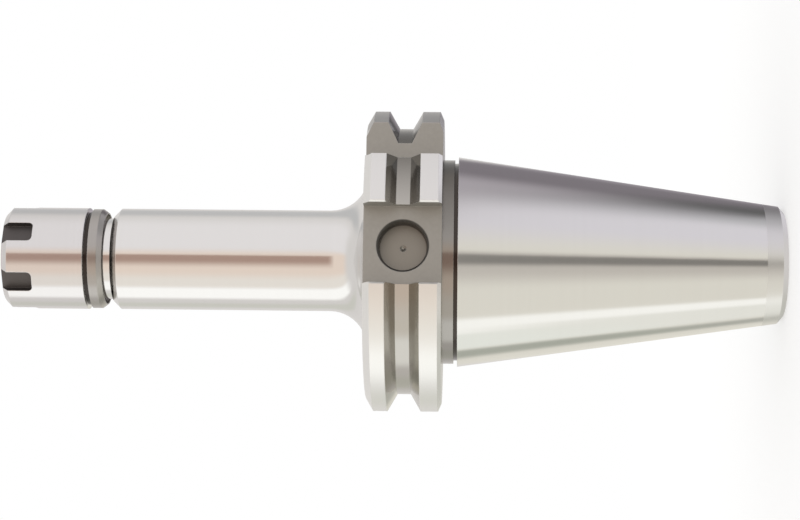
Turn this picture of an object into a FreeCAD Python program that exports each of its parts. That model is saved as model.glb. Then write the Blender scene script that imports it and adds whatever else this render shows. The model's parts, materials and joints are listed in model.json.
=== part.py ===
"""Collet chuck holder: a size 40 steep-taper shank with a long slim neck that clamps a size 16 spring
collet under a one-piece slotted nut.

The part stands on the small end of its taper. The origin is the middle of that end, +Z runs up the
axis to the nose, and -Y is the side of the drive slot that has the round pocket for the data chip.
Lengths are in millimetres and angles in degrees. Threads are plain cylinders at their real sizes.
"""
import FreeCAD, Part
import math
import os

import Sketcher

SIZES = {
    # 7:24 taper, from its small end up to the gauge line
    "taper_length": 68.4,
    "gauge_diameter": 44.45,
    "taper_rate": 7 / 24,
    "end_bevel": 1.15,
    # relief and collar between the gauge line and the flange
    "flange_gap": 3.2,
    "undercut_width": 0.8,
    "undercut_diameter": 41.8,
    "collar_diameter": 43.2,
    # gripper flange with its 60 degree groove
    "flange_diameter": 63.55,
    "flange_width": 15.9,
    "rear_bevel_height": 0.75,
    "rear_bevel_depth": 1.7,
    "front_bevel_height": 1.5,
    "front_bevel_depth": 2.6,
    "groove_distance": 11.1,
    "groove_floor_diameter": 56.25,
    "groove_floor_width": 2.83,
    "groove_flank_angle": 30.0,
    # two drive slots of unequal depth, the orientation notch and the chip pocket
    "slot_width": 16.1,
    "slot_front_floor": 25.0,
    "slot_back_floor": 22.8,
    "slot_edge_bevel": 0.5,
    "notch_floor": 18.8,
    "notch_wall": 17.0,
    "chip_diameter": 10.0,
    "chip_depth": 4.6,
    "chip_bevel": 0.4,
    "centre_mark_diameter": 1.4,
    "centre_mark_depth": 0.35,
    # neck, shoulder and threaded spigot
    "projection": 95.8,
    "neck_diameter": 21.4,
    "neck_fillet": 8.0,
    "neck_bevel": 1.5,
    "shoulder_gap": 1.6,
    "relief_diameter": 17.2,
    "relief_length": 2.2,
    "thread_diameter": 19.0,
    "thread_clearance": 0.05,
    "thread_bevel": 0.6,
    # bores, from the small end up to the collet seat
    "stud_pilot_diameter": 17.0,
    "stud_pilot_depth": 7.0,
    "stud_thread_bore": 14.0,
    "stud_thread_depth": 36.0,
    "bore_bevel": 0.4,
    "drill_point_angle": 59.0,
    "coolant_bore": 7.0,
    "seat_mouth_step": 0.5,
    "seat_angle": 8.0,
    "seat_clearance": 0.03,
    "seat_run_out": 1.2,
    # spring collet
    "collet_diameter": 17.0,
    "collet_length": 27.5,
    "collet_head_height": 2.7,
    "collet_land_depth": 3.99,
    "collet_groove_depth": 6.26,
    "collet_groove_diameter": 13.8,
    "collet_head_angle": 30.0,
    "collet_bore": 8.0,
    "collet_slot_width": 0.6,
    "collet_slot_count": 8,
    "collet_front_slot_length": 23.0,
    "collet_rear_slot_length": 19.0,
    "collet_recess": 0.3,
    # clamping nut
    "nut_diameter": 21.5,
    "nut_length": 21.2,
    "nut_front_bevel": 1.3,
    "nut_mouth_bevel": 0.5,
    "nut_groove_depth": 0.9,
    "nut_groove_width": 1.0,
    "nut_ring_height": 2.9,
    "nut_ring_diameter": 21.1,
    "nut_ring_bevel_height": 1.0,
    "nut_ring_bevel_depth": 0.75,
    "nut_slot_width": 4.4,
    "nut_slot_length": 6.5,
    "nut_slot_floor_radius": 9.1,
    "nut_slot_corner": 1.0,
    "nut_slot_count": 6,
    "nut_turn": 24.2,
    "head_clearance": 0.15,
    "lip_diameter": 15.0,
    "lip_clearance": 0.25,
    "nut_runway": 0.8,
    # length-setting screw in the bore behind the collet
    "screw_diameter": 10.0,
    "screw_clearance": 0.05,
    "screw_length": 16.0,
    "screw_bevel": 0.8,
    "screw_socket_width": 5.0,
    "screw_socket_depth": 6.0,
    "screw_coolant_hole": 2.5,
    "screw_setback": 10.0,
    "screw_bore_length": 40.0,
}


def size(name):
    return f"Sizes.{name}"


def half(name):
    return f"(Sizes.{name} / 2)"


def tangent(name):
    return f"tan(Sizes.{name} * 1 deg)"


# Heights above the small end, from the driving sizes
GAUGE_LINE = size("taper_length")
FLANGE_REAR = f"({GAUGE_LINE} + {size('flange_gap')})"
FLANGE_FRONT = f"({FLANGE_REAR} + {size('flange_width')})"
GROOVE_CENTRE = f"({GAUGE_LINE} + {size('groove_distance')})"
NUT_FRONT = f"({GAUGE_LINE} + {size('projection')})"
NUT_REAR = f"({NUT_FRONT} - {size('nut_length')})"
SHOULDER = f"({NUT_REAR} - {size('shoulder_gap')})"
COLLET_FRONT = f"({NUT_FRONT} - {size('collet_recess')})"
COLLET_REAR = f"({COLLET_FRONT} - {size('collet_length')})"

# The seat's mouth is smaller than the collet's rear cone, which stands out of it by that much
SEAT_MOUTH = f"({half('collet_diameter')} - {size('seat_mouth_step')})"
COLLET_STAND_OUT = f"(({size('seat_mouth_step')} + {size('seat_clearance')}) / {tangent('seat_angle')})"
NOSE_FACE = f"({COLLET_FRONT} - {size('collet_groove_depth')} - {COLLET_STAND_OUT})"
SEAT_END = f"({COLLET_REAR} - {size('seat_run_out')})"


def new_sheet(doc):
    """Put the driving sizes in a spreadsheet, one named cell each."""
    sheet = doc.addObject("Spreadsheet::Sheet", "Sizes")
    for row, (name, value) in enumerate(SIZES.items(), start=1):
        sheet.set(f"A{row}", name)
        sheet.set(f"B{row}", str(value))
        sheet.setAlias(f"B{row}", name)
    doc.recompute()
    return sheet


def value_of(sheet, expression):
    """The number that an expression on the sheet gives now."""
    result = sheet.evalExpression(expression)
    return float(getattr(result, "Value", result))


def new_body(doc, name):
    body = doc.addObject("PartDesign::Body", name)
    body.Label = name
    return body


def origin_plane(body, role):
    return next(item for item in body.Origin.OriginFeatures if item.Role == role)


def new_sketch(body, name, role, offset=None):
    """A sketch on one of the body's origin planes, or lifted off it by the expression offset."""
    sketch = body.newObject("Sketcher::SketchObject", name)
    sketch.AttachmentSupport = (origin_plane(body, role), "")
    sketch.MapMode = "FlatFace"
    if offset:
        sketch.setExpression(".AttachmentOffset.Base.z", offset)
    return sketch


def arc_between(start, end, radius, bulge):
    """The arc from start to end that turns left (bulge 1) or right (bulge -1), and whether it is
    drawn backwards, because a sketch keeps every arc anticlockwise."""
    chord = end - start
    rise = math.sqrt(max(radius**2 - (chord.Length / 2) ** 2, 0))
    normal = FreeCAD.Vector(-chord.y, chord.x, 0).normalize()
    centre = (start + end) * 0.5 + normal * rise * bulge
    first, last = (start, end) if bulge > 0 else (end, start)
    angles = [math.atan2(point.y - centre.y, point.x - centre.x) for point in (first, last)]
    if angles[1] <= angles[0]:
        angles[1] += 2 * math.pi
    circle = Part.Circle(centre, FreeCAD.Vector(0, 0, 1), radius)
    return Part.ArcOfCircle(circle, *angles), bulge < 0


def outline(sketch, sheet, corners):
    """Draw a closed outline and tie every corner to the sheet.

    Each corner is (across, up), two expressions. A third item (radius, bulge) makes the edge that
    leaves this corner an arc.
    """
    places = [
        FreeCAD.Vector(value_of(sheet, corner[0]), value_of(sheet, corner[1]), 0) for corner in corners
    ]
    ends = []
    for index, corner in enumerate(corners):
        start, end = places[index], places[(index + 1) % len(corners)]
        if len(corner) == 3:
            radius, bulge = corner[2]
            arc, backwards = arc_between(start, end, value_of(sheet, radius), bulge)
            edge = sketch.addGeometry(arc, False)
            ends.append((edge, 2, 1) if backwards else (edge, 1, 2))
            dimension = sketch.addConstraint(Sketcher.Constraint("Radius", edge, arc.Radius))
            sketch.setExpression(f"Constraints[{dimension}]", radius)
        else:
            edge = sketch.addGeometry(Part.LineSegment(start, end), False)
            ends.append((edge, 1, 2))
    for index, corner in enumerate(corners):
        edge, first, _ = ends[index]
        before, _, last = ends[index - 1]
        sketch.addConstraint(Sketcher.Constraint("Coincident", before, last, edge, first))
        for kind, distance, axis in (("DistanceX", corner[0], -2), ("DistanceY", corner[1], -1)):
            if distance == "0":
                sketch.addConstraint(Sketcher.Constraint("PointOnObject", edge, first, axis))
                continue
            rule = Sketcher.Constraint(kind, -1, 1, edge, first, value_of(sheet, distance))
            sketch.setExpression(f"Constraints[{sketch.addConstraint(rule)}]", distance)


def turned(body, sheet, name, corners, kind="PartDesign::Revolution"):
    """Turn an outline, drawn as radius and height, about the body's Z axis."""
    sketch = new_sketch(body, f"{name}_outline", "XZ_Plane")
    outline(sketch, sheet, corners)
    feature = body.newObject(kind, name)
    feature.Profile = sketch
    feature.ReferenceAxis = (sketch, ["V_Axis"])
    feature.Angle = 360
    body.Tip = feature
    return feature


def bored(body, sheet, name, corners):
    """Turn away an outline drawn as radius and height."""
    return turned(body, sheet, name, corners, kind="PartDesign::Groove")


def pocket(body, sketch, name, depth=None, outward=False):
    """Cut a sketch through everything, or as deep as the expression depth."""
    feature = body.newObject("PartDesign::Pocket", name)
    feature.Profile = sketch
    feature.Reversed = outward
    if depth:
        feature.Type = "Length"
        feature.setExpression("Length", depth)
    else:
        feature.Type = "ThroughAll"
    body.Tip = feature
    return feature


def ring_of(body, feature, name, count):
    """Repeat a feature round the body's Z axis."""
    pattern = body.newObject("PartDesign::PolarPattern", name)
    pattern.Originals = [feature]
    axis = next(item for item in body.Origin.OriginFeatures if item.Role == "Z_Axis")
    pattern.Axis = (axis, [""])
    pattern.Angle = 360
    pattern.setExpression("Occurrences", count)
    body.Tip = pattern
    return pattern


def taper_radius(height):
    """Radius of the 7:24 cone at a height."""
    return f"({half('gauge_diameter')} - ({GAUGE_LINE} - {height}) * {half('taper_rate')})"


def groove_half_opening():
    depth = f"({half('flange_diameter')} - {half('groove_floor_diameter')})"
    return f"({half('groove_floor_width')} + {depth} * {tangent('groove_flank_angle')})"


def seat_radius(height):
    """Radius of the collet seat at a height."""
    return f"({SEAT_MOUTH} - ({NOSE_FACE} - {height}) * {tangent('seat_angle')})"


def shank_outline():
    """Outside of the holder as radius and height: taper, collar, flange, neck, threaded spigot."""
    rim = half("flange_diameter")
    neck = half("neck_diameter")
    relief = half("relief_diameter")
    bevel = size("end_bevel")
    thread_start = f"({SHOULDER} + {size('relief_length')})"
    return [
        ("0", "0"),
        (f"({taper_radius('0')} - {bevel})", "0"),
        (taper_radius(bevel), bevel),
        (half("gauge_diameter"), GAUGE_LINE),
        (half("undercut_diameter"), GAUGE_LINE),
        (half("undercut_diameter"), f"({GAUGE_LINE} + {size('undercut_width')})"),
        (half("collar_diameter"), f"({GAUGE_LINE} + {size('undercut_width')})"),
        (half("collar_diameter"), FLANGE_REAR),
        (f"({rim} - {size('rear_bevel_depth')})", FLANGE_REAR),
        (rim, f"({FLANGE_REAR} + {size('rear_bevel_height')})"),
        (rim, f"({GROOVE_CENTRE} - {groove_half_opening()})"),
        (half("groove_floor_diameter"), f"({GROOVE_CENTRE} - {half('groove_floor_width')})"),
        (half("groove_floor_diameter"), f"({GROOVE_CENTRE} + {half('groove_floor_width')})"),
        (rim, f"({GROOVE_CENTRE} + {groove_half_opening()})"),
        (rim, f"({FLANGE_FRONT} - {size('front_bevel_height')})"),
        (f"({rim} - {size('front_bevel_depth')})", FLANGE_FRONT),
        (f"({neck} + {size('neck_fillet')})", FLANGE_FRONT, (size("neck_fillet"), -1)),
        (neck, f"({FLANGE_FRONT} + {size('neck_fillet')})"),
        (neck, f"({SHOULDER} - {size('neck_bevel')})"),
        (f"({neck} - {size('neck_bevel')})", SHOULDER),
        (relief, SHOULDER),
        (relief, thread_start),
        (half("thread_diameter"), f"({thread_start} + {half('thread_diameter')} - {relief})"),
        (half("thread_diameter"), f"({NOSE_FACE} - {size('thread_bevel')})"),
        (f"({half('thread_diameter')} - {size('thread_bevel')})", NOSE_FACE),
        ("0", NOSE_FACE),
    ]


def bore_outline():
    """The bore right through the holder: pull-stud pilot and thread, coolant bore, screw thread, seat."""
    pilot = half("stud_pilot_diameter")
    thread = half("stud_thread_bore")
    coolant = half("coolant_bore")
    screw = f"({half('screw_diameter')} + {size('screw_clearance')})"
    drill_point = f"({size('stud_thread_depth')} + ({thread} - {coolant}) / {tangent('drill_point_angle')})"
    screw_bore_end = f"({SEAT_END} - {size('screw_bore_length')})"
    return [
        ("0", "0"),
        (f"({pilot} + {size('bore_bevel')})", "0"),
        (pilot, size("bore_bevel")),
        (pilot, size("stud_pilot_depth")),
        (thread, size("stud_pilot_depth")),
        (thread, size("stud_thread_depth")),
        (coolant, drill_point),
        (coolant, screw_bore_end),
        (screw, f"({screw_bore_end} + ({screw} - {coolant}) / {tangent('drill_point_angle')})"),
        (screw, SEAT_END),
        (seat_radius(SEAT_END), SEAT_END),
        (SEAT_MOUTH, NOSE_FACE),
        ("0", NOSE_FACE),
    ]


def drive_slot_outline(floor, side):
    """Section of a drive slot, open to the rim, with its edges bevelled. side is -1 for the -Y slot."""
    width = half("slot_width")
    rim = half("flange_diameter")
    bevel_start = f"(sqrt({rim} ^ 2 - {width} ^ 2) - {size('slot_edge_bevel')})"
    flare = f"({width} + {rim} - {bevel_start})"
    sign = "-" if side < 0 else ""
    floor, bevel_start, rim = f"({sign}{floor})", f"({sign}{bevel_start})", f"({sign}{rim})"
    return [
        (f"(-{width})", floor),
        (width, floor),
        (width, bevel_start),
        (flare, rim),
        (f"(-{flare})", rim),
        (f"(-{width})", bevel_start),
    ]


def holder_body(doc, sheet):
    """Turned and milled shank, flange, neck and threaded spigot, all one piece."""
    body = new_body(doc, "holder_body")
    turned(body, sheet, "shank", shank_outline())
    bored(body, sheet, "through_bore", bore_outline())

    for name, floor, side in (("front_slot", "slot_front_floor", -1), ("back_slot", "slot_back_floor", 1)):
        sketch = new_sketch(body, f"{name}_section", "XY_Plane")
        outline(sketch, sheet, drive_slot_outline(size(floor), side))
        pocket(body, sketch, name, outward=True)

    notch = new_sketch(body, "notch_section", "XY_Plane")
    wall, rim = f"(-{size('notch_wall')})", half("flange_diameter")
    outline(notch, sheet, [
        (size("notch_floor"), f"(-{rim})"),
        (rim, f"(-{rim})"),
        (rim, wall),
        (size("notch_floor"), wall),
    ])
    pocket(body, notch, "orientation_notch", outward=True)

    chip_pocket(body, sheet)
    return body


def chip_pocket(body, sheet):
    """Round flat-bottomed pocket in the front drive slot, turned about a line along Y."""
    sketch = new_sketch(body, "chip_outline", "YZ_Plane")
    mouth = f"(-{size('slot_front_floor')})"
    floor = f"({mouth} + {size('chip_depth')})"
    outside = f"({mouth} - {size('chip_bevel')})"
    wall = f"({GROOVE_CENTRE} + {half('chip_diameter')})"
    outline(sketch, sheet, [
        (outside, GROOVE_CENTRE),
        (outside, f"({wall} + 2 * {size('chip_bevel')})"),
        (f"({mouth} + {size('chip_bevel')})", wall),
        (floor, wall),
        (floor, f"({GROOVE_CENTRE} + {half('centre_mark_diameter')})"),
        (f"({floor} + {size('centre_mark_depth')})", GROOVE_CENTRE),
    ])
    feature = body.newObject("PartDesign::Groove", "chip_pocket")
    feature.Profile = sketch
    axis_edge = sketch.GeometryCount - 1
    feature.ReferenceAxis = (sketch, [f"Edge{axis_edge + 1}"])
    feature.Angle = 360
    body.Tip = feature


def collet(doc, sheet):
    """Spring collet, slotted from both ends in turn, drawn up from its rear end."""
    body = new_body(doc, "collet")
    widest = half("collet_diameter")
    front = size("collet_length")
    cone_start = f"({front} - {size('collet_groove_depth')})"
    land_end = f"({front} - {size('collet_land_depth')})"
    head = f"({front} - {size('collet_head_height')})"
    groove = half("collet_groove_diameter")
    turned(body, sheet, "collet_form", [
        ("0", "0"),
        (f"({widest} - {cone_start} * {tangent('seat_angle')})", "0"),
        (widest, cone_start),
        (groove, cone_start),
        (groove, land_end),
        (widest, land_end),
        (widest, head),
        (f"({widest} - {size('collet_head_height')} * {tangent('collet_head_angle')})", front),
        ("0", front),
    ])
    bore, bevel = half("collet_bore"), size("bore_bevel")
    bored(body, sheet, "tool_bore", [
        ("0", "0"),
        (f"({bore} + {bevel})", "0"),
        (bore, bevel),
        (bore, f"({front} - {bevel})"),
        (f"({bore} + {bevel})", front),
        ("0", front),
    ])
    saw_cuts(body, sheet, "front_slot", f"({front} - {size('collet_front_slot_length')})", front, "0 deg")
    half_pitch = f"180 deg / {size('collet_slot_count')}"
    saw_cuts(body, sheet, "rear_slot", "0", size("collet_rear_slot_length"), half_pitch)
    body.setExpression(".Placement.Base.z", COLLET_REAR)
    return body


def saw_cuts(body, sheet, name, low, high, turn):
    """A ring of thin radial slots between two heights."""
    sketch = new_sketch(body, f"{name}_outline", "XZ_Plane")
    outline(sketch, sheet, [
        ("0", low),
        (size("collet_diameter"), low),
        (size("collet_diameter"), high),
        ("0", high),
    ])
    up = FreeCAD.Vector(0, 1, 0)
    sketch.AttachmentOffset = FreeCAD.Placement(FreeCAD.Vector(), FreeCAD.Rotation(up, 1))
    sketch.setExpression(".AttachmentOffset.Rotation.Angle", turn)
    feature = body.newObject("PartDesign::Pocket", name)
    feature.Profile = sketch
    feature.Type = "Length"
    feature.Midplane = True
    feature.setExpression("Length", size("collet_slot_width"))
    body.Tip = feature
    ring_of(body, feature, f"{name}s", size("collet_slot_count"))


def clamping_nut(doc, sheet):
    """One-piece slotted nut with the lip that pulls the collet out, drawn up from its rear face."""
    body = new_body(doc, "clamping_nut")
    front = size("nut_length")
    outside = half("nut_diameter")
    ring = half("nut_ring_diameter")
    groove_top = f"({size('nut_ring_height')} + {size('nut_groove_width')})"
    groove_floor = f"({outside} - {size('nut_groove_depth')})"
    bevel = size("nut_front_bevel")
    turned(body, sheet, "nut_form", [
        ("0", "0"),
        (f"({ring} - {size('nut_ring_bevel_depth')})", "0"),
        (ring, size("nut_ring_bevel_height")),
        (ring, size("nut_ring_height")),
        (groove_floor, size("nut_ring_height")),
        (groove_floor, groove_top),
        (outside, groove_top),
        (outside, f"({front} - {bevel})"),
        (f"({outside} - {bevel})", front),
        ("0", front),
    ])
    bored(body, sheet, "nut_bore", nut_bore_outline())

    slot = new_sketch(body, "wrench_slot_outline", "XZ_Plane", offset=size("nut_slot_floor_radius"))
    width, corner = half("nut_slot_width"), size("nut_slot_corner")
    bottom = f"({front} - {size('nut_slot_length')})"
    outline(slot, sheet, [
        (f"(-{width} + {corner})", bottom),
        (f"({width} - {corner})", bottom, (corner, 1)),
        (width, f"({bottom} + {corner})"),
        (width, front),
        (f"(-{width})", front),
        (f"(-{width})", f"({bottom} + {corner})", (corner, 1)),
    ])
    wrench_slot = pocket(body, slot, "wrench_slot", depth=half("nut_diameter"), outward=True)
    ring_of(body, wrench_slot, "wrench_slots", size("nut_slot_count"))
    body.Placement = FreeCAD.Placement(FreeCAD.Vector(), FreeCAD.Rotation(FreeCAD.Vector(0, 0, 1), 1))
    body.setExpression(".Placement.Base.z", NUT_REAR)
    body.setExpression(".Placement.Rotation.Angle", f"{size('nut_turn')} * 1 deg")
    return body


def nut_bore_outline():
    """Inside of the nut as radius and height: thread, room for the collet, lip, clamping cone."""
    front = size("nut_length")
    thread = f"({half('thread_diameter')} + {size('thread_clearance')})"
    room = f"({half('collet_diameter')} + {size('head_clearance')})"
    lip = half("lip_diameter")
    collet_front = f"({front} - {size('collet_recess')})"
    nose_face = f"({collet_front} - {size('collet_groove_depth')} - {COLLET_STAND_OUT})"
    thread_end = f"({nose_face} + {size('nut_runway')})"
    lip_rear = f"({collet_front} - {size('collet_groove_depth')} + {size('lip_clearance')})"
    lip_front = f"({collet_front} - {size('collet_land_depth')} - {size('lip_clearance')})"
    cone_start = f"({collet_front} - {size('collet_head_height')})"
    slope = tangent("collet_head_angle")
    gap = size("seat_clearance")
    cone_foot = f"({half('collet_diameter')} + {gap})"
    bevel = size("nut_mouth_bevel")
    mouth = f"({cone_foot} - ({front} - {bevel} - {cone_start}) * {slope})"
    return [
        ("0", "0"),
        (thread, "0"),
        (thread, thread_end),
        (room, thread_end),
        (room, lip_rear),
        (lip, lip_rear),
        (lip, lip_front),
        (cone_foot, lip_front),
        (cone_foot, cone_start),
        (mouth, f"({front} - {bevel})"),
        (f"({mouth} + {bevel})", front),
        ("0", front),
    ]


def stop_screw(doc, sheet):
    """Length-setting screw with a hexagon socket and a coolant hole, drawn up from its lower end."""
    body = new_body(doc, "stop_screw")
    radius, bevel, top = half("screw_diameter"), size("screw_bevel"), size("screw_length")
    hole = half("screw_coolant_hole")
    turned(body, sheet, "screw_form", [
        (hole, "0"),
        (f"({radius} - {bevel})", "0"),
        (radius, bevel),
        (radius, f"({top} - {bevel})"),
        (f"({radius} - {bevel})", top),
        (hole, top),
    ])
    sketch = new_sketch(body, "socket_outline", "XY_Plane", offset=top)
    flat = half("screw_socket_width")
    corner = f"({flat} / cos(30 deg))"
    outline(sketch, sheet, [
        (corner, "0"),
        (f"({corner} / 2)", flat),
        (f"(-{corner} / 2)", flat),
        (f"(-{corner})", "0"),
        (f"(-{corner} / 2)", f"(-{flat})"),
        (f"({corner} / 2)", f"(-{flat})"),
    ])
    pocket(body, sketch, "hexagon_socket", depth=size("screw_socket_depth"))
    body.setExpression(".Placement.Base.z", f"{COLLET_REAR} - {size('screw_setback')} - {top}")
    return body


def check(doc, bodies):
    """Stop if any object failed or any piece isn't one valid solid."""
    for item in doc.Objects:
        if "Invalid" in item.State or "Error" in item.State:
            raise RuntimeError(f"{item.Name} failed: {item.State}")
    for body in bodies:
        shape = body.Shape
        if shape.isNull() or not shape.isValid() or len(shape.Solids) != 1:
            raise RuntimeError(f"{body.Label} isn't one valid solid")


def cut_volumes(bodies):
    """Every cutting feature has to take material away."""
    for body in bodies:
        before = None
        for feature in body.Group:
            if not feature.isDerivedFrom("PartDesign::Feature"):
                continue
            volume = feature.Shape.Volume
            if before is not None and volume > before - 0.01:
                raise RuntimeError(f"{body.Label}: {feature.Name} cuts nothing")
            before = volume


def main():
    doc = FreeCAD.newDocument("collet_chuck_holder")
    sheet = new_sheet(doc)
    bodies = [build(doc, sheet) for build in (holder_body, collet, clamping_nut, stop_screw)]
    doc.recompute()
    check(doc, bodies)
    cut_volumes(bodies)
    os.makedirs("parts", exist_ok=True)
    for body in bodies:
        body.Shape.exportStep(f"parts/{body.Label}.step")
        box = body.Shape.BoundBox
        print(f"{body.Label}: {body.Shape.Volume:.1f} mm3, z {box.ZMin:.2f} to {box.ZMax:.2f}")


main()
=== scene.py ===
"""Collet chuck holder: finishes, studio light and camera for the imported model.

The holder stands on the small end of its taper with the tool axis along +Z. The camera lies on its side,
so that the nose points to the left of the picture. Lengths are in metres. Angles are in radians, apart
from the studio's panels, which are in degrees.
"""
import json
import math
from collections import namedtuple

import bpy
from mathutils import Matrix, Vector


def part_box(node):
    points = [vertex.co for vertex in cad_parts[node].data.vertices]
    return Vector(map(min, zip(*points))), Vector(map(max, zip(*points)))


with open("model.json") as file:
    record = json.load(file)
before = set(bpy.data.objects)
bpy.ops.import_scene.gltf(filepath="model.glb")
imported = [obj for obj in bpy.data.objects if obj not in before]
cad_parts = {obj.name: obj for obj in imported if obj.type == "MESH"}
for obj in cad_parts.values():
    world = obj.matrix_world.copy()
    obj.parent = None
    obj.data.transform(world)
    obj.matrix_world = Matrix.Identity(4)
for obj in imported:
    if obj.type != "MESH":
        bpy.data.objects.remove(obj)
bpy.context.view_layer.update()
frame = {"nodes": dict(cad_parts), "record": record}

MM = 0.001
HOLDER = frame["nodes"]["holder_body"]
NUT = frame["nodes"]["clamping_nut"]
COLLET = frame["nodes"]["collet"]
SCREW = frame["nodes"]["stop_screw"]
MOUNTS = {mount["name"]: mount for mount in frame["record"]["mounts"]}

# Heights and radii of the holder that its finish changes at
GAUGE_LINE = MOUNTS["taper"]["pos_m"][2]
FLANGE_REAR = GAUGE_LINE + 3.2 * MM
FLANGE_FRONT = FLANGE_REAR + 15.9 * MM
FLANGE_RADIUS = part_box("holder_body")[1].x
GROOVE_CENTRE = MOUNTS["gripper_groove"]["pos_m"][2]
NOSE_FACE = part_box("holder_body")[1].z
NUT_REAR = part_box("clamping_nut")[0].z
SHOULDER = NUT_REAR - 1.6 * MM
EDGE = 0.03 * MM
GROOVE_HALF = 3.55 * MM
SLOT_HALF = 8.1 * MM
SLOT_DEPTH_FROM = 20 * MM
NOTCH_FLOOR = 18.7 * MM
NOTCH_WALL = -16.9 * MM
LAND_RADIUS = 28 * MM
UNDERCUT_RADIUS = 21.5 * MM
CHIP_RADIUS = 5.0 * MM
SMALL_END_BAND = 4.5 * MM

NUT_SLOTS = 6
NUT_FIRST_SLOT = math.radians(24.2 - 90)

# Threads, which the solids have as plain cylinders
THREAD_RADIUS = 9.5 * MM
THREAD_PITCH = 1.0 * MM
STUD_THREAD_RADIUS = 7.0 * MM
STUD_THREAD_PITCH = 2.0 * MM
STUD_THREAD_BOTTOM = 7.3 * MM
STUD_THREAD_TOP = 36.0 * MM

# Marks of lathe and grinder, and how deep all marks are drawn
FINE_MARKS = 0.12 * MM
BROAD_MARKS = 1.1 * MM
MARK_DEPTH = 0.003 * MM

# The picture's upward direction and the direction towards the camera, square to the tool axis
TURN = math.radians(7.5)
PICTURE_UP = Vector((math.cos(TURN), -math.sin(TURN), 0))
TO_CAMERA = Vector((-math.sin(TURN), -math.cos(TURN), 0))
PICTURE_RIGHT = Vector((0, 0, -1))


# Node helpers

class Nodes:
    """A node tree that is filled with one short call for each node."""

    def __init__(self, tree):
        self.tree = tree
        tree.nodes.clear()

    def add(self, kind, inputs=None, **settings):
        node = self.tree.nodes.new(kind)
        for name, value in settings.items():
            setattr(node, name, value)
        for key, value in (inputs or {}).items():
            self.put(node.inputs[key], value)
        return node

    def put(self, socket, value):
        if isinstance(value, bpy.types.NodeSocket):
            self.tree.links.new(value, socket)
        else:
            socket.default_value = value

    def math(self, operation, first, second=0.0, third=0.0, clamp=False):
        node = self.add("ShaderNodeMath", {0: first, 1: second, 2: third}, operation=operation)
        node.use_clamp = clamp
        return node.outputs[0]

    def total(self, *values):
        result = values[0]
        for value in values[1:]:
            result = self.math("ADD", result, value)
        return result

    def product(self, *values):
        result = values[0]
        for value in values[1:]:
            result = self.math("MULTIPLY", result, value)
        return result

    def step(self, value, low, high):
        """0 below low and 1 above high, eased between them."""
        node = self.add("ShaderNodeMapRange", {"Value": value, "From Min": low, "From Max": high})
        node.interpolation_type = "SMOOTHSTEP"
        return node.outputs["Result"]

    def within(self, value, low, high, edge):
        """1 between low and high, with soft edges."""
        above = self.step(value, low - edge, low + edge)
        below = self.step(value, high + edge, high - edge)
        return self.product(above, below)

    def mix(self, share, first, second):
        node = self.add("ShaderNodeMix", data_type="RGBA")
        self.put(node.inputs["Factor"], share)
        self.put(node.inputs[6], first)
        self.put(node.inputs[7], second)
        return node.outputs[2]

    def blend(self, share, first, second):
        """A number that goes from first to second as share goes from 0 to 1."""
        node = self.add("ShaderNodeMix", data_type="FLOAT")
        self.put(node.inputs["Factor"], share)
        self.put(node.inputs[2], first)
        self.put(node.inputs[3], second)
        return node.outputs[0]

    def noise(self, vector, scale, detail=2.0, roughness=0.5):
        inputs = {"Vector": vector, "Scale": scale, "Detail": detail, "Roughness": roughness}
        return self.add("ShaderNodeTexNoise", inputs).outputs["Fac"]

    def mix_shaders(self, share, first, second):
        inputs = {0: share, 1: first.outputs[0], 2: second.outputs[0]}
        return self.add("ShaderNodeMixShader", inputs)

    def vector(self, x, y, z):
        return self.add("ShaderNodeCombineXYZ", {0: x, 1: y, 2: z}).outputs[0]


def linear(part):
    """Light that a screen gives for one part of a colour."""
    return part / 12.92 if part <= 0.04045 else ((part + 0.055) / 1.055) ** 2.4


def screen_colour(red, green, blue):
    """Linear colour of a screen colour whose parts go from 0 to 1."""
    return (linear(red), linear(green), linear(blue), 1.0)


def from_screen(code):
    """Linear colour of a hexadecimal screen colour."""
    return screen_colour(*(int(code[start:start + 2], 16) / 255 for start in (0, 2, 4)))


WHITE = (1.0, 1.0, 1.0, 1.0)


class Place:
    """Where a point of a turned piece is: along, across and round the tool axis."""

    def __init__(self, nodes):
        coordinates = nodes.add("ShaderNodeTexCoord")
        self.vector = coordinates.outputs["Object"]
        split = nodes.add("ShaderNodeSeparateXYZ", {0: self.vector})
        self.x, self.y, self.z = split.outputs
        squares = nodes.math("ADD", nodes.product(self.x, self.x), nodes.product(self.y, self.y))
        self.radius = nodes.math("SQRT", squares)
        self.turn = nodes.math("ARCTAN2", self.y, self.x)


def turning_marks(nodes, place, pitch, wander=0.35):
    """Fine rings that a lathe or grinder leaves, about pitch apart, as a height from 0 to 1."""
    run = nodes.total(place.z, place.radius)
    along = nodes.math("DIVIDE", run, pitch)
    rings = nodes.vector(along, nodes.math("MULTIPLY", place.turn, wander), 0.0)
    return nodes.noise(rings, 1.0, detail=4.0, roughness=0.65)


def thread_height(nodes, place, pitch):
    """Flanks of a right-hand thread round the tool axis, as a height from 0 to 1."""
    lead = nodes.math("MULTIPLY", place.turn, pitch / (2 * math.pi))
    rise = nodes.math("DIVIDE", nodes.math("SUBTRACT", place.z, lead), pitch)
    return nodes.math("MULTIPLY", nodes.math("PINGPONG", rise, 0.5), 2.0)


def new_material(name):
    material = bpy.data.materials.new(name)
    material.use_nodes = True
    return material, Nodes(material.node_tree)


def finish_material(nodes, shader):
    nodes.add("ShaderNodeOutputMaterial", {"Surface": shader.outputs[0]})


def bumped(nodes, height, strength, edge_radius):
    """Surface marks over edges that deburring has broken by edge_radius."""
    soft_edges = nodes.add("ShaderNodeBevel", {"Radius": edge_radius}, samples=6).outputs[0]
    inputs = {"Height": height, "Distance": MARK_DEPTH, "Strength": strength, "Normal": soft_edges}
    return nodes.add("ShaderNodeBump", inputs).outputs[0]


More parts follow.
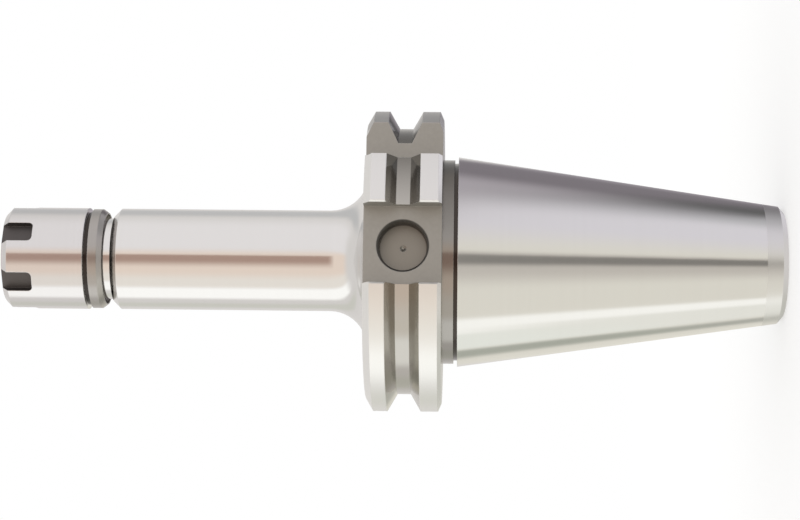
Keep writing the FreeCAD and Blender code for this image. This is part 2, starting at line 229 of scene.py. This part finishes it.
def finish_steel(nodes, base, rough, normal):
    inputs = {"Base Color": base, "Metallic": 1.0, "Roughness": rough, "Normal": normal}
    finish_material(nodes, nodes.add("ShaderNodeBsdfPrincipled", inputs))


GROUND = from_screen("ecebea")
GROUND_MARKS = from_screen("c9c4bf")
LAND = from_screen("f4f3f1")
MILLED = from_screen("b9b8b3")
MILLED_MARKS = from_screen("9c9a95")
CHIP_FLOOR = from_screen("a5a29b")
TURNED = from_screen("c4c1bb")
COLLAR = from_screen("a8a5a0")
# Painted shade colour for the undercut, the chip pocket's wall and one side of the groove, collar and
# lobes
SHADED = from_screen("4a4541")
NUT_GROUND = from_screen("e8e6e6")
NUT_RING = from_screen("b4b0ac")
# Painted shade colours for the nut's slots and groove
NUT_SLOT_SHADE = from_screen("6b6766")
NUT_GROOVE_SHADE = from_screen("433f3c")
STEEL_MARKS = from_screen("a8a39e")


Zones = namedtuple(
    "Zones", "milled groove collar undercut land small_end chip_wall chip_floor oil spigot stud_bore"
)


def holder_zones(nodes, place):
    """Shares, from 0 to 1, of the holder's places that are finished in their own way or carry painted
    shade.
    """
    in_flange = nodes.within(place.z, FLANGE_REAR, FLANGE_FRONT, EDGE)
    below_rim = nodes.step(place.radius, FLANGE_RADIUS - 0.12 * MM, FLANGE_RADIUS - 0.2 * MM)
    groove = nodes.product(
        nodes.within(place.z, GROOVE_CENTRE - GROOVE_HALF, GROOVE_CENTRE + GROOVE_HALF, EDGE), below_rim
    )
    slot = nodes.product(
        nodes.step(nodes.math("ABSOLUTE", place.x), SLOT_HALF, SLOT_HALF - EDGE),
        nodes.step(nodes.math("ABSOLUTE", place.y), SLOT_DEPTH_FROM, SLOT_DEPTH_FROM + 0.5 * MM),
    )
    notch = nodes.product(
        nodes.step(place.x, NOTCH_FLOOR, NOTCH_FLOOR + 0.05 * MM),
        nodes.step(place.y, NOTCH_WALL, NOTCH_WALL - 0.05 * MM),
    )
    collar = nodes.within(place.z, GAUGE_LINE + 0.7 * MM, FLANGE_REAR + 0.02 * MM, EDGE)
    undercut = nodes.product(
        nodes.within(place.z, GAUGE_LINE + 0.02 * MM, GAUGE_LINE + 0.82 * MM, EDGE),
        nodes.step(place.radius, UNDERCUT_RADIUS, UNDERCUT_RADIUS - 0.1 * MM),
    )
    land = nodes.product(in_flange, nodes.step(place.radius, LAND_RADIUS, LAND_RADIUS + 0.5 * MM))
    small_end = nodes.step(place.z, SMALL_END_BAND + 0.1 * MM, SMALL_END_BAND - 0.1 * MM)

    rise = nodes.math("SUBTRACT", place.z, GROOVE_CENTRE)
    squares = nodes.total(nodes.product(place.x, place.x), nodes.product(rise, rise))
    from_chip = nodes.math("SQRT", squares)
    chip_side = nodes.step(place.y, -SLOT_DEPTH_FROM, -SLOT_DEPTH_FROM - 0.2 * MM)
    chip_wall = nodes.within(from_chip, CHIP_RADIUS - 0.25 * MM, CHIP_RADIUS + 0.35 * MM, 0.15 * MM)
    chip_floor = nodes.step(from_chip, CHIP_RADIUS - 0.05 * MM, CHIP_RADIUS - 0.15 * MM)

    # Painted shade: the groove and the collar grow darker towards +x, and so do the lands' lobes beyond
    # the notch
    oil = nodes.math(
        "MAXIMUM",
        nodes.product(groove, nodes.step(place.x, 3 * MM, 26 * MM)),
        nodes.product(collar, nodes.step(place.x, -8 * MM, 23 * MM)),
    )
    lobe_shade = nodes.product(land, nodes.step(place.x, 24 * MM, 26 * MM), 0.6)
    spigot = nodes.product(
        nodes.within(place.z, SHOULDER + 2.3 * MM, NOSE_FACE - 0.5 * MM, 0.3 * MM),
        nodes.within(place.radius, THREAD_RADIUS - 0.3 * MM, THREAD_RADIUS + 0.1 * MM, EDGE),
    )
    stud_bore = nodes.product(
        nodes.within(place.z, STUD_THREAD_BOTTOM, STUD_THREAD_TOP, 0.3 * MM),
        nodes.step(place.radius, STUD_THREAD_RADIUS + 0.2 * MM, STUD_THREAD_RADIUS + 0.1 * MM),
    )
    return Zones(
        milled=nodes.product(nodes.math("MAXIMUM", slot, notch), in_flange, below_rim),
        groove=groove,
        collar=collar,
        undercut=undercut,
        land=land,
        small_end=small_end,
        chip_wall=nodes.product(chip_wall, chip_side),
        chip_floor=nodes.product(chip_floor, chip_side),
        oil=nodes.math("MAXIMUM", oil, lobe_shade),
        spigot=spigot,
        stud_bore=stud_bore,
    )


def holder_steel():
    """Ground bright on taper, lands and neck; matt where it was milled, satin where it was turned,
    with painted shade on one side of the flange and the collar, on the lands' lobes beyond the notch,
    in the undercut and on the chip pocket's wall.
    """
    material, nodes = new_material("holder_steel")
    place = Place(nodes)
    zones = holder_zones(nodes, place)
    turned = nodes.math("MAXIMUM", zones.groove, zones.collar)
    bare_land = nodes.product(zones.land, nodes.math("SUBTRACT", 1.0, zones.groove))
    fine = turning_marks(nodes, place, FINE_MARKS)
    broad = turning_marks(nodes, place, BROAD_MARKS, wander=0.15)
    tool_marks = nodes.noise(place.vector, 1500.0, detail=3.0)

    base = nodes.mix(nodes.product(broad, 0.10), GROUND, GROUND_MARKS)
    base = nodes.mix(turned, base, TURNED)
    base = nodes.mix(zones.collar, base, COLLAR)
    base = nodes.mix(bare_land, base, LAND)
    # Painted shade towards +x on the groove, the collar and the lands' lobes
    base = nodes.mix(nodes.product(zones.oil, 0.85), base, SHADED)
    base = nodes.mix(zones.milled, base, nodes.mix(nodes.product(tool_marks, 0.4), MILLED, MILLED_MARKS))
    base = nodes.mix(zones.chip_floor, base, CHIP_FLOOR)
    # Painted shade in the undercut and on the chip pocket's wall
    base = nodes.mix(zones.undercut, base, SHADED)
    base = nodes.mix(nodes.product(zones.chip_wall, 0.8), base, SHADED)

    rough = nodes.math("MULTIPLY_ADD", fine, 0.05, 0.09)
    for zone, roughness in (
        (zones.small_end, 0.3), (zones.land, 0.34), (turned, 0.14), (zones.milled, 0.48)
    ):
        rough = nodes.blend(zone, rough, roughness)

    spigot_thread = nodes.product(thread_height(nodes, place, THREAD_PITCH), 150.0)
    stud_thread = nodes.product(thread_height(nodes, place, STUD_THREAD_PITCH), 300.0)
    height = nodes.math("MULTIPLY_ADD", broad, 0.35, nodes.product(fine, 0.2))
    height = nodes.blend(zones.milled, height, tool_marks)
    height = nodes.blend(zones.spigot, height, spigot_thread)
    height = nodes.blend(zones.stud_bore, height, stud_thread)
    finish_steel(nodes, base, rough, bumped(nodes, height, 0.4, 0.12 * MM))
    return material


def nut_steel():
    """Ground bright, with dull slots that are darkened as painted shade, a groove in painted shade and a
    darker ring behind the groove.
    """
    material, nodes = new_material("nut_steel")
    place = Place(nodes)
    rear, front = (corner.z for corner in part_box("clamping_nut"))
    groove = nodes.product(
        nodes.within(place.z, rear + 2.92 * MM, rear + 3.88 * MM, EDGE),
        nodes.step(place.radius, 10.72 * MM, 10.6 * MM),
    )
    ring = nodes.step(place.z, rear + 3.4 * MM, rear + 3.3 * MM)
    from_slot = nodes.math("SUBTRACT", place.turn, NUT_FIRST_SLOT)
    turns = nodes.math("COSINE", nodes.math("MULTIPLY", from_slot, NUT_SLOTS))
    folded = nodes.math("DIVIDE", nodes.math("ARCCOSINE", turns), NUT_SLOTS)
    aside = nodes.product(place.radius, nodes.math("SINE", folded))
    slot = nodes.product(
        nodes.step(aside, 2.24 * MM, 2.21 * MM),
        nodes.step(place.z, front - 6.54 * MM, front - 6.50 * MM),
        nodes.step(place.radius, 10.74 * MM, 10.70 * MM),
        nodes.step(place.radius, 8.6 * MM, 8.8 * MM),
    )
    fine = turning_marks(nodes, place, FINE_MARKS)
    base = nodes.mix(nodes.product(fine, 0.12), NUT_GROUND, STEEL_MARKS)
    base = nodes.mix(ring, base, NUT_RING)
    # Painted shade in the nut's slots and groove
    base = nodes.mix(slot, base, NUT_SLOT_SHADE)
    base = nodes.mix(groove, base, NUT_GROOVE_SHADE)
    rough = nodes.math("MULTIPLY_ADD", fine, 0.06, 0.10)
    rough = nodes.blend(ring, rough, 0.25)
    rough = nodes.blend(slot, rough, 0.55)
    finish_steel(nodes, base, rough, bumped(nodes, fine, 0.4, 0.25 * MM))
    return material


def plain_steel(name, tint, roughness):
    """One finish all over, with fine rings from turning."""
    material, nodes = new_material(name)
    fine = turning_marks(nodes, Place(nodes), FINE_MARKS)
    base = nodes.mix(nodes.product(fine, 0.2), tint, STEEL_MARKS)
    rough = nodes.math("MULTIPLY_ADD", fine, 0.1, roughness)
    finish_steel(nodes, base, rough, bumped(nodes, fine, 0.5, 0.06 * MM))
    return material


def dress(piece, material):
    piece.data.materials.clear()
    piece.data.materials.append(material)


# Studio

# Bright steel shows the room round it, so the room has soft panels round the tool axis. A panel's start
# and end are degrees from the camera's side towards the picture's top. It fades in before its start and
# out after its end. Its tone is what a screen shows: red, green and blue from 0 to 1.
Panel = namedtuple("Panel", "start end fade_in fade_out tone")

PALE = (0.82, 0.81, 0.80)
CREAM = (0.89, 0.87, 0.84)
PEACH = (0.88, 0.82, 0.77)
SILVER = (0.88, 0.87, 0.87)
SMOKE = (0.73, 0.73, 0.73)
LAMP_WHITE = (0.99, 0.99, 0.98)
BROWN = (0.65, 0.55, 0.50)
GREY_GREEN = (0.78, 0.78, 0.75)
OAT_WHITE = (0.85, 0.84, 0.80)
LILAC = (0.83, 0.82, 0.84)
LAMP_GAIN = 1.18

ROOM = (
    Panel(-62, 18, 8, 18, PEACH),
    Panel(-64, -50, 6, 25, CREAM),
    Panel(30, 78, 20, 45, SILVER),
    Panel(130, 142, 20, 20, SMOKE),
    Panel(-95, -73, 12, 12, LAMP_WHITE),
    Panel(-136, -126, 12, 14, GREY_GREEN),
)
TABLE_EDGE = Panel(0, 10, 20, 1.5, BROWN)
NOSE_ROOM = ROOM + (TABLE_EDGE,)

TAPER_ROOM = (
    Panel(50, 180, 40, 1, LILAC),
    Panel(-180, -155, 1, 20, (0.74, 0.74, 0.71)),
    Panel(-136, -124, 12, 10, (0.68, 0.68, 0.65)),
    Panel(-108, -82, 12, 14, (0.89, 0.89, 0.86)),
    Panel(-77, -70, 7, 7, (0.97, 0.97, 0.95)),
    Panel(-8, 10, 25, 4, (0.74, 0.72, 0.69)),
    Panel(1, 8, 7, 2, (0.49, 0.48, 0.46)),
)
DARK_CARD = Panel(118, 172, 58, 12, (0.36, 0.36, 0.36))
FOOT_CARD = Panel(92, 104, 25, 60, (0.70, 0.70, 0.71))
TIP_ROOM = TAPER_ROOM + (DARK_CARD,)
FOOT_ROOM = TAPER_ROOM + (FOOT_CARD,)
FLANGE_SIDE_ROOM = (
    Panel(100, 180, 160, 1, (0.65, 0.63, 0.65)),
    Panel(122, 142, 24, 40, (0.48, 0.46, 0.48)),
    Panel(-126, -118, 14, 6, (0.65, 0.66, 0.62)),
    Panel(-110, -86, 6, 4, (0.89, 0.90, 0.87)),
    Panel(-84, -70, 6, 9, (0.97, 0.97, 0.95)),
)


def light_ring(nodes, turn, wall, panels):
    """Colour round the tool axis: a wall with soft-edged panels on it."""
    ring = screen_colour(*wall)
    for panel in panels:
        fade_in = nodes.step(turn, panel.start - panel.fade_in, panel.start)
        fade_out = nodes.step(turn, panel.end + panel.fade_out, panel.end)
        shown = nodes.product(fade_in, fade_out)
        ring = nodes.mix(shown, ring, screen_colour(*panel.tone))
    return ring


def studio_world():
    """Metal shows the panels, matt surfaces get plain light and the camera sees white."""
    world = bpy.data.worlds.new("studio")
    bpy.context.scene.world = world
    world.use_nodes = True
    nodes = Nodes(world.node_tree)
    direction = nodes.add("ShaderNodeTexCoord").outputs["Generated"]
    dot = {"operation": "DOT_PRODUCT"}
    up = nodes.add("ShaderNodeVectorMath", {0: direction, 1: PICTURE_UP}, **dot).outputs["Value"]
    front = nodes.add("ShaderNodeVectorMath", {0: direction, 1: TO_CAMERA}, **dot).outputs["Value"]
    turn = nodes.math("DEGREES", nodes.math("ARCTAN2", up, front))
    height = nodes.add("ShaderNodeSeparateXYZ", {0: direction}).outputs["Z"]

    # Above the object first, then lower and lower, where the taper's slope looks
    ring = light_ring(nodes, turn, PALE, NOSE_ROOM)
    for start, end, wall, panels in (
        (0.2, 0.4, PALE, ROOM),
        (-0.015, -0.08, OAT_WHITE, FLANGE_SIDE_ROOM),
        (-0.19, -0.27, OAT_WHITE, TIP_ROOM),
        (-0.295, -0.325, OAT_WHITE, FOOT_ROOM),
    ):
        ring = nodes.mix(nodes.step(height, start, end), ring, light_ring(nodes, turn, wall, panels))
    ends = nodes.step(nodes.math("ABSOLUTE", height), 0.75, 0.95)
    ring = nodes.mix(ends, ring, screen_colour(*PALE))

    rays = nodes.add("ShaderNodeLightPath")
    studio = nodes.add("ShaderNodeBackground", {"Color": ring, "Strength": LAMP_GAIN})
    plain = nodes.add("ShaderNodeBackground", {"Color": (1.0, 0.995, 0.985, 1.0), "Strength": 0.95})
    white = nodes.add("ShaderNodeBackground", {"Color": WHITE, "Strength": 1.0})
    lit = nodes.mix_shaders(rays.outputs["Is Glossy Ray"], plain, studio)
    seen = nodes.mix_shaders(rays.outputs["Is Camera Ray"], lit, white)
    nodes.add("ShaderNodeOutputWorld", {"Surface": seen.outputs[0]})


def floor():
    """Pale floor under the small end, white where nothing shades it."""
    below = -0.05 * MM
    bpy.ops.mesh.primitive_circle_add(vertices=96, radius=0.45, fill_type="NGON", location=(0, 0, below))
    plane = bpy.context.object
    plane.name = "floor"
    material, nodes = new_material("floor")
    cloth = nodes.add("ShaderNodeBsdfDiffuse", {"Color": (0.92, 0.92, 0.92, 1.0)})
    glow = nodes.add("ShaderNodeEmission", {"Color": WHITE, "Strength": 1.36})
    rays = nodes.add("ShaderNodeLightPath")
    share = nodes.math("MULTIPLY", rays.outputs["Is Camera Ray"], 0.3)
    finish_material(nodes, nodes.mix_shaders(share, cloth, glow))
    dress(plane, material)
    plane.visible_glossy = False


def camera():
    """Side view from about half a metre, lying so that the nose points left."""
    distance = 491.5 * MM
    yaw = math.radians(1.75)
    roll = math.radians(0.565)
    across = 12.34 * MM
    down = 0.45 * MM
    away = -TO_CAMERA
    right = math.cos(yaw) * PICTURE_RIGHT + math.sin(yaw) * away
    forward = math.cos(yaw) * away - math.sin(yaw) * PICTURE_RIGHT
    rolled_right = math.cos(roll) * right + math.sin(roll) * PICTURE_UP
    rolled_up = math.cos(roll) * PICTURE_UP - math.sin(roll) * right
    target = Vector((0, 0, GAUGE_LINE))
    place = target - across * rolled_right + down * rolled_up - distance * forward
    data = bpy.data.cameras.new("camera")
    data.sensor_width = 36.0
    data.lens = 104.13
    data.clip_start = 0.01
    data.clip_end = 20.0
    shot = bpy.data.objects.new("camera", data)
    bpy.context.scene.collection.objects.link(shot)
    axes = Matrix((rolled_right, rolled_up, -forward)).transposed()
    shot.matrix_world = Matrix.Translation(place) @ axes.to_4x4()
    bpy.context.scene.camera = shot


dress(HOLDER, holder_steel())
dress(NUT, nut_steel())
dress(COLLET, plain_steel("collet_steel", from_screen("d8d5d2"), 0.22))
dress(SCREW, plain_steel("screw_steel", from_screen("56565a"), 0.4))
studio_world()
floor()
camera()
bpy.context.scene.view_settings.view_transform = "Standard"
